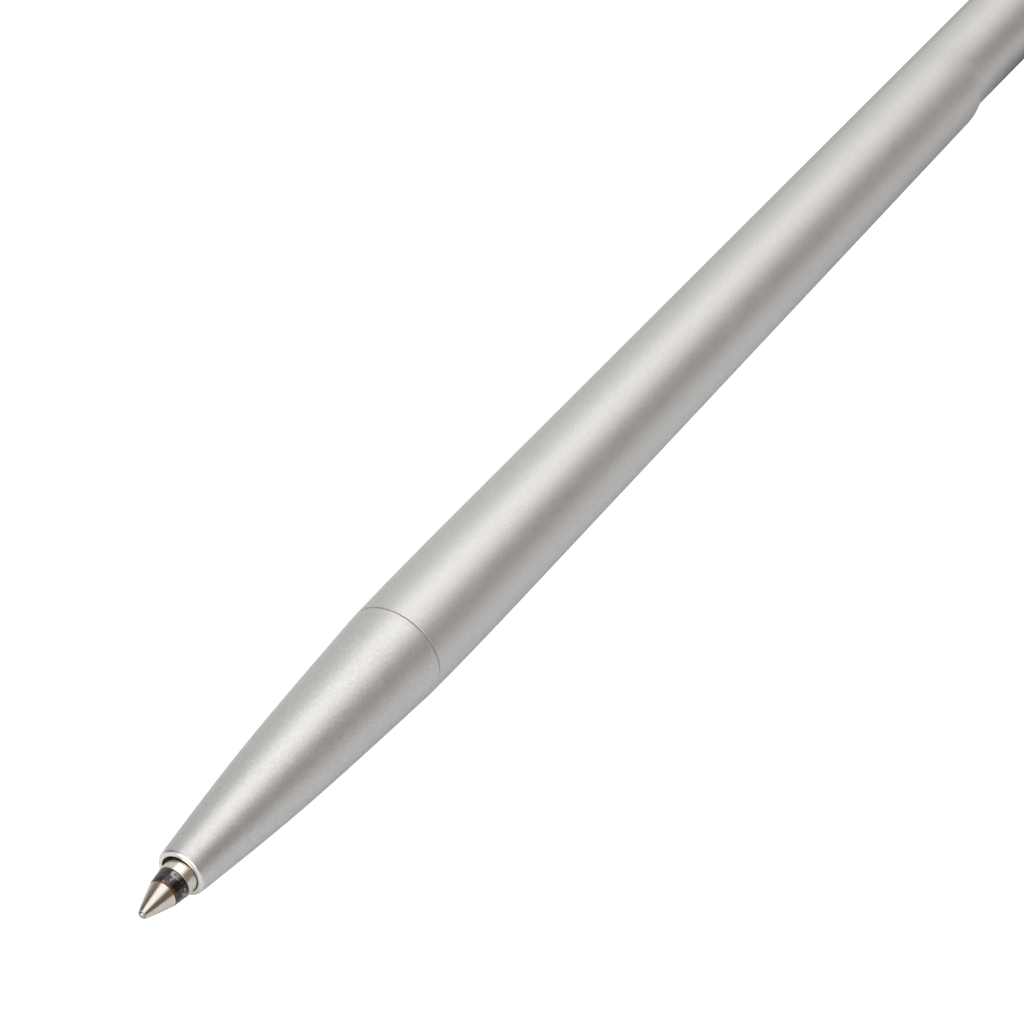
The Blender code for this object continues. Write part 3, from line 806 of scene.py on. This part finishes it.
class PEN_OT_barrel(Operator):
    """Barrel tube with the scallop that drops away under the clip"""

    bl_idname = "pen.barrel"
    bl_label = "Barrel"

    def execute(self, context):
        sizes = context.scene.pen_sizes
        stations = scallop_stations(sizes)
        bore_r = 2.6
        stations += [(stations[-1][0], bore_r, 0.0, 0.0), (stations[0][0], bore_r, 0.0, 0.0)]
        stations.append(stations[0])
        sections = []
        for x, radius, sharp, gentle in stations:
            section = []
            for k in range(sizes.facets):
                turn = 2 * math.pi * k / sizes.facets
                drop = gentle + (sharp - gentle) * smooth_step((math.cos(turn) - 0.1) / 0.7)
                out = radius - drop
                section.append(Vector((x, out * math.sin(turn), out * math.cos(turn) - drop)))
            sections.append(section)
        add_piece(
            "barrel_shell",
            skinned(sections),
            bpy.data.materials["satin_barrel"],
            "barrel",
            ["barrel_tube"],
        )
        return {"FINISHED"}


# ---- operators: the point ----------------------------------------------------------
def rest_off_centre(bm, sizes):
    """Let the refill's front lie to one side of the mouth, along the ball's rolling axis."""
    side = Matrix.Rotation(-PEN_TURN, 3, "X") @ -Vector(JOINTS["ball_roll"]["axis"])
    bmesh.ops.translate(bm, vec=side * sizes.refill_rest / MM, verts=bm.verts)


class PEN_OT_point(Operator):
    """Ball, polished cone, smoky tip holder and the nickel sleeve behind it"""

    bl_idname = "pen.point"
    bl_label = "Point"

    def execute(self, context):
        sizes = context.scene.pen_sizes
        facets = sizes.small_facets
        ball_r = (BALL_HIGH.x - BALL_LOW.x) / 2 / MM

        ball = bmesh.new()
        bmesh.ops.create_uvsphere(ball, u_segments=48, v_segments=32, radius=ball_r)
        bmesh.ops.translate(ball, vec=(ball_r, 0, 0), verts=ball.verts)
        rest_off_centre(ball, sizes)
        add_piece("ball", ball, finish("carbide"), "ball", ["point_ball"])

        cone_x, cone_r, stem_r = CONE_BACK_X, 0.90, 0.60
        lip = arc(ball_r, 0.0, ball_r + 0.012, 112, 40, 10)
        rolled = arc(0.172, 0.266, 0.022, 200, 80, 6)
        flank = bezier((0.20, 0.30), (0.72, 0.50), (1.40, 0.72), (cone_x - 0.03, cone_r), 28)
        back = [(cone_x, cone_r - 0.03), (cone_x, stem_r), (4.4, stem_r), (4.4, 0.16)]
        cone = spun(rolled + flank + back + list(reversed(lip)), facets)
        rest_off_centre(cone, sizes)
        add_piece(
            "cone",
            cone,
            bpy.data.materials["polished_point"],
            "refill",
            ["point_cone"],
        )

        holder = round_corners(
            [
                (cone_x + 0.03, 0.925),
                (2.45, 0.985),
                (BAND_X, 0.31 * BARREL_R),
                (BAND_X + 0.02, 0.94),
                (6.0, 0.94),
                (6.0, 0.35),
                (4.5, 0.35),
                (4.5, 0.63),
                (cone_x + 0.03, 0.63),
            ],
            0.05,
        )
        holder = spun(holder, facets)
        rest_off_centre(holder, sizes)
        add_piece("smoke_holder", holder, finish("smoke"), "refill", ["tip_holder"])

        sleeve = round_corners(
            [
                (BAND_X + 0.03, 1.09),
                (9.0, 1.09),
                (9.0, 0.92),
                (11.0, 0.92),
                (11.0, 0.75),
                (6.1, 0.75),
                (6.1, 0.97),
                (BAND_X + 0.03, 0.97),
            ],
            0.05,
        )
        sleeve = spun(sleeve, facets)
        rest_off_centre(sleeve, sizes)
        add_piece(
            "sleeve",
            sleeve,
            bpy.data.materials["polished_point"],
            "refill",
            ["front_sleeve"],
        )
        return {"FINISHED"}


# ---- operators: the rear -----------------------------------------------------------
class PEN_OT_knob(Operator):
    """Twist knob, its polished end disc and the trim ring ahead of it"""

    bl_idname = "pen.knob"
    bl_label = "Knob"

    def execute(self, context):
        sizes = context.scene.pen_sizes
        front_x, end_x = along("knob_shell", 0), along("knob_shell", 1)
        knob_r = (KNOB_HIGH.z - KNOB_LOW.z) / 2 / MM
        pocket_x, pocket_r, bore_r, disc_r = DISC_POCKET_X, 2.23, 1.73, 2.2
        shell = arc(front_x + 0.12, knob_r - 0.12, 0.12, 180, 90, 5)
        shell += arc(end_x - 0.8, knob_r - 0.8, 0.8, 90, 0, 20)
        shell += [(end_x, pocket_r + 0.03), (end_x - 0.03, pocket_r), (pocket_x, pocket_r)]
        shell += [(pocket_x, bore_r), (front_x, bore_r)]
        add_piece(
            "knob",
            spun(shell, sizes.facets),
            bpy.data.materials["satin_aluminium"],
            "knob",
            ["knob_shell"],
        )
        disc = [(pocket_x + 0.03, 0.0), (pocket_x + 0.03, disc_r), (PEN_END_X - 0.15, disc_r)]
        disc += arc(PEN_END_X - 0.15, disc_r - 0.15, 0.15, 80, 0, 6)
        disc += [(PEN_END_X, 0.0)]
        add_piece(
            "end_disc",
            spun(disc, sizes.facets, closed=False),
            finish("polished"),
            "knob",
            ["knob_end_disc"],
        )
        start, end = along("trim_ring", 0), along("trim_ring", 1)
        ring = round_corners([(start, 3.2), (end, 3.2), (end, 1.78), (start, 1.78)], 0.08)
        add_piece(
            "rear_trim",
            spun(ring, sizes.facets),
            finish("polished"),
            "barrel",
            ["trim_ring"],
        )
        return {"FINISHED"}


class PEN_OT_clip(Operator):
    """Channel-shaped clip arm, its hinge pin, the rivet and the small spring"""

    bl_idname = "pen.clip"
    bl_label = "Clip"

    def execute(self, context):
        self.make_arm()
        half, pin_r = 1.57, 0.35
        outline = [(-half, 0.0), (-half, pin_r), (half, pin_r), (half, 0.0)]
        pin = spun(round_corners(outline, 0.08, closed=False), 48, closed=False)
        across = Matrix.Rotation(math.pi / 2, 4, "Z")
        turn = Matrix.Translation((PIVOT_X, 0, PIVOT_OUT)) @ across
        bmesh.ops.transform(pin, matrix=turn, verts=pin.verts)
        add_piece("hinge_pin", pin, finish("steel"), "barrel", ["clip_pin"])

        rivet_x = (along("clip_rivet", 0) + along("clip_rivet", 1)) / 2
        shank_r, head_r, head_z = 0.36, 0.62, 3.93
        outline = [(2.76, 0.0), (2.76, shank_r), (head_z, shank_r), (head_z, head_r - 0.02)]
        outline.append((head_z + 0.0616, head_r - 0.0004))
        for depth, height in arc(0.0, 0.0, 1.0, 80, 0, 8):
            outline.append((head_z + 0.03 + 0.22 * depth, head_r * height))
        rivet = spun(outline, 48, closed=False)
        turn = Matrix.Translation((rivet_x, 0, 0)) @ Matrix.Rotation(-math.pi / 2, 4, "Y")
        bmesh.ops.transform(rivet, matrix=turn, verts=rivet.verts)
        add_piece("block_rivet", rivet, finish("steel"), "barrel", ["clip_rivet"])

        spring = coil(3.94, 4.76, 0.55, 0.088, 3.0)
        bmesh.ops.translate(spring, vec=(HEEL_SPRING_X, 0, 0), verts=spring.verts)
        wire = finish("spring_steel")
        piece = add_piece("heel_spring", spring, wire, None, ["clip_spring"], 60)
        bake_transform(piece)
        return {"FINISHED"}

    def make_arm(self):
        """Sections of a folded sheet: rounded back, two sides, open underneath."""
        # Each station is a place along the pen, half the width, and the low and high edge.
        tip = along("clip_arm", 0)
        stations = (
            (tip, 0.50, 3.45, 3.75),
            (tip + 0.10, 0.78, 3.32, 3.90),
            (tip + 0.30, 0.97, 3.24, 4.03),
            (tip + 1.0, 1.12, 3.19, 4.32),
            (tip + 1.9, 1.18, 3.34, 4.58),
            (tip + 3.4, 1.24, 3.85, 4.86),
            (tip + 6.0, 1.32, 4.18, 5.10),
            (tip + 10.5, 1.44, 4.28, 5.24),
            (PIVOT_X - 4.0, 1.56, 4.20, 5.29),
            (PIVOT_X - 2.0, 1.60, 3.85, 5.30),
            (PIVOT_X - 0.7, 1.60, 3.44, 5.30),
            (PIVOT_X + 0.7, 1.60, 3.44, 5.30),
            (PIVOT_X + 1.9, 1.60, 3.90, 5.29),
            (PIVOT_X + 3.1, 1.55, 4.20, 5.20),
            (PIVOT_X + 3.45, 1.46, 4.28, 5.08),
            (PIVOT_X + 3.6, 1.32, 4.38, 4.93),
        )
        track = smooth_track(stations, 8)
        channel_x = tip + 3.6
        wide_x = PIVOT_X - 5.0
        rows = [track[0]]
        for row, after in zip(track, track[1:]):
            if row[0] < channel_x <= after[0]:
                share = (channel_x - row[0]) / (after[0] - row[0])
                x, *rest = blended((1 - share, share), (row, after))
                rows += [(x - 0.02, *rest), (x + 0.02, *rest)]
            rows.append(after)
        sections = []
        for x, half, low, high in rows:
            share = clamped((x - channel_x) / (wide_x - channel_x))
            side = min(0.75 + 0.30 * share, half * 0.8)
            roof = max(4.36 + 0.44 * share, low) if x > channel_x else low
            roof = min(roof, high - 0.1)
            corner = min(0.45, (high - low) * 0.46, half * 0.7)
            lip = min(0.08, corner * 0.4)
            edge = arc(half - lip, low + lip, lip, -90, 0, 8)
            edge += arc(half - corner, high - corner, corner, 0, 90, 8)
            outer = edge + [(-y, z) for y, z in reversed(edge)]
            inner = [(-side, low), (-side, roof), (side, roof), (side, low)]
            sections.append([Vector((x, y, z)) for y, z in outer + inner])
        arm = skinned(sections)
        add_piece("clip", arm, finish("satin_body"), "clip", ["clip_arm"], 32)


class PEN_OT_return_spring(Operator):
    """Coil spring between its seat in the nose and the stop on the refill"""

    bl_idname = "pen.return_spring"
    bl_label = "Return spring"

    def execute(self, context):
        low, high = along("return_spring", 0), along("return_spring", 1)
        spring = coil(low, high, 1.5, 0.148, 11)
        turn = Matrix.Rotation(math.pi / 2, 4, "Y")
        bmesh.ops.transform(spring, matrix=turn, verts=spring.verts)
        nodes, slot = ["return_spring"], "spring_steel"
        piece = add_piece("refill_spring", spring, finish(slot), None, nodes, 60)
        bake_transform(piece)
        return {"FINISHED"}


# ---- operators: the studio ---------------------------------------------------------
def area_light(name, place, aim, size, energy, colour=(1, 1, 1)):
    data = bpy.data.lights.new(name, "AREA")
    data.shape = "RECTANGLE"
    data.size, data.size_y = size
    data.energy = energy
    data.color = colour
    light = bpy.data.objects.new(name, data)
    light.location = place
    light.rotation_euler = (Vector(aim) - Vector(place)).to_track_quat("-Z", "Y").to_euler()
    bpy.context.scene.collection.objects.link(light)


class PEN_OT_stage(Operator):
    """Pale table, a softbox over it, a grey room and the camera at the pen's point"""

    bl_idname = "pen.stage"
    bl_label = "Stage"

    def execute(self, context):
        scene = context.scene
        stage = scene.pen_stage
        self.make_floor(stage)
        self.make_room(scene, stage)
        area_light(
            "key_core", (0.12, -0.05, 0.45), (0.12, -0.05, 0), (0.66, 0.40), stage.core_energy
        )
        area_light(
            "key_softbox", (0.12, -0.07, 0.45), (0.12, -0.07, 0), (0.96, 0.62), stage.key_energy
        )
        ahead, cool = (-0.60, -0.08, 0.30), (0.93, 0.97, 1.0)
        area_light("front_fill", ahead, (-0.05, 0, 0), (0.80, 0.46), stage.fill_energy, cool)
        self.make_camera(scene, stage)
        scene.view_settings.view_transform = "Standard"
        return {"FINISHED"}

    def make_floor(self, stage):
        """A table that looks evenly white; in reflections it is pale grey, with painted shade under and behind the
        pen's rear.
        """
        material, tree, shader = new_material("pale_table", roughness=0.75)
        coordinate = tree.nodes.new("ShaderNodeTexCoord")
        # Painted shade: the table's colour darkens under and beyond the rear of the pen, where the metal sees it
        # in reflections.
        paper = noise(tree, coordinate.outputs["Object"], 60.0, Detail=3.0)
        tone = map_range(tree, paper, 0.3, 0.7, 0.99, 1.01)
        split = tree.nodes.new("ShaderNodeSeparateXYZ")
        tree.links.new(coordinate.outputs["Object"], split.inputs["Vector"])
        rear = map_range(tree, split.outputs["X"], -0.01, 0.06, 0.0, 0.7)
        near = map_range(tree, split.outputs["Y"], -0.009, -0.004, 0.0, 1.0)
        shade = math_node(tree, "SUBTRACT", 1.0, math_node(tree, "MULTIPLY", rear, near))
        tone = math_node(tree, "MULTIPLY", tone, shade)
        tree.links.new(tinted(tree, stage.floor_shade, tone), shader.inputs["Base Color"])
        glow = tree.nodes.new("ShaderNodeEmission")
        glow.inputs["Strength"].default_value = 1.1
        path = tree.nodes.new("ShaderNodeLightPath")
        mix = tree.nodes.new("ShaderNodeMixShader")
        tree.links.new(path.outputs["Is Camera Ray"], mix.inputs["Fac"])
        tree.links.new(shader.outputs["BSDF"], mix.inputs[1])
        tree.links.new(glow.outputs["Emission"], mix.inputs[2])
        surface = tree.nodes["Material Output"].inputs["Surface"]
        tree.links.new(mix.outputs["Shader"], surface)
        bm = bmesh.new()
        bmesh.ops.create_grid(bm, x_segments=2, y_segments=2, size=3.0)
        mesh = bpy.data.meshes.new("table")
        bm.to_mesh(mesh)
        bm.free()
        mesh.materials.append(material)
        floor = bpy.data.objects.new("table", mesh)
        bpy.context.scene.collection.objects.link(floor)

    def make_room(self, scene, stage):
        """Light from all round: bright beyond the pen, dim on the near side."""
        world = bpy.data.worlds.new("studio_room")
        scene.world = world
        world.use_nodes = True
        tree = world.node_tree
        direction = tree.nodes.new("ShaderNodeTexCoord")
        split = tree.nodes.new("ShaderNodeSeparateXYZ")
        tree.links.new(direction.outputs["Generated"], split.inputs["Vector"])
        side = map_range(tree, split.outputs["Y"], -0.45, 0.35, 0.0, 1.0)
        middle = map_range(tree, split.outputs["Y"], -0.45, 0.35, 0.42, 0.14)
        ahead = map_range(tree, split.outputs["X"], -0.65, -0.35, 1.0, middle)
        behind = map_range(tree, split.outputs["X"], 0.1, 0.45, middle, 1.0)
        level = math_node(tree, "MAXIMUM", ahead, behind)
        mix = tree.nodes.new("ShaderNodeMix")
        mix.data_type = "RGBA"
        mix.inputs["A"].default_value = (*stage.dark_side, 1.0)
        mix.inputs["B"].default_value = (*stage.bright_side, 1.0)
        tree.links.new(side, mix.inputs["Factor"])
        background = tree.nodes["Background"]
        tree.links.new(mix.outputs["Result"], background.inputs["Color"])
        tree.links.new(level, background.inputs["Strength"])

    def make_camera(self, scene, stage):
        """Ahead of the point and above it, looking back along the pen."""
        data = bpy.data.cameras.new("camera")
        data.lens = stage.lens
        data.sensor_width = 36.0
        data.clip_start = 0.01
        data.clip_end = 20.0
        camera = bpy.data.objects.new("camera", data)
        camera.location = TIP + Vector(VIEW_FROM) * BARREL_R * MM
        camera.rotation_euler = [math.radians(angle) for angle in VIEW_TURN]
        scene.collection.objects.link(camera)
        scene.camera = camera


# ---- panel -------------------------------------------------------------------------
OPERATORS = (
    PEN_OT_finishes,
    PEN_OT_inner_pieces,
    PEN_OT_nose_cone,
    PEN_OT_barrel,
    PEN_OT_point,
    PEN_OT_knob,
    PEN_OT_clip,
    PEN_OT_return_spring,
    PEN_OT_stage,
)


class PEN_PT_sidebar(Panel):
    """Lists the pen's pieces in the order they are made"""

    bl_idname = "PEN_PT_sidebar"
    bl_label = "Technical Pen"
    bl_space_type = "VIEW_3D"
    bl_region_type = "UI"
    bl_category = "Pen"

    def draw(self, context):
        column = self.layout.column(align=True)
        for operator in OPERATORS:
            column.operator(operator.bl_idname)
        for group in ("pen_sizes", "pen_finishes", "pen_stage"):
            settings = getattr(context.scene, group)
            box = self.layout.box()
            for name in settings.__annotations__:
                box.prop(settings, name)


CLASSES = (PenSizes, PenFinishes, PenStage, *OPERATORS, PEN_PT_sidebar)


def register():
    for cls in CLASSES:
        bpy.utils.register_class(cls)
    bpy.types.Scene.pen_sizes = PointerProperty(type=PenSizes)
    bpy.types.Scene.pen_finishes = PointerProperty(type=PenFinishes)
    bpy.types.Scene.pen_stage = PointerProperty(type=PenStage)


def unregister():
    del bpy.types.Scene.pen_stage
    del bpy.types.Scene.pen_finishes
    del bpy.types.Scene.pen_sizes
    for cls in reversed(CLASSES):
        bpy.utils.unregister_class(cls)


def main():
    register()
    bpy.ops.pen.finishes()
    bpy.ops.pen.inner_pieces()
    bpy.ops.pen.nose_cone()
    bpy.ops.pen.barrel()
    bpy.ops.pen.point()
    bpy.ops.pen.knob()
    bpy.ops.pen.clip()
    bpy.ops.pen.return_spring()
    bpy.ops.pen.stage()


if __name__ == "__main__":
    main()
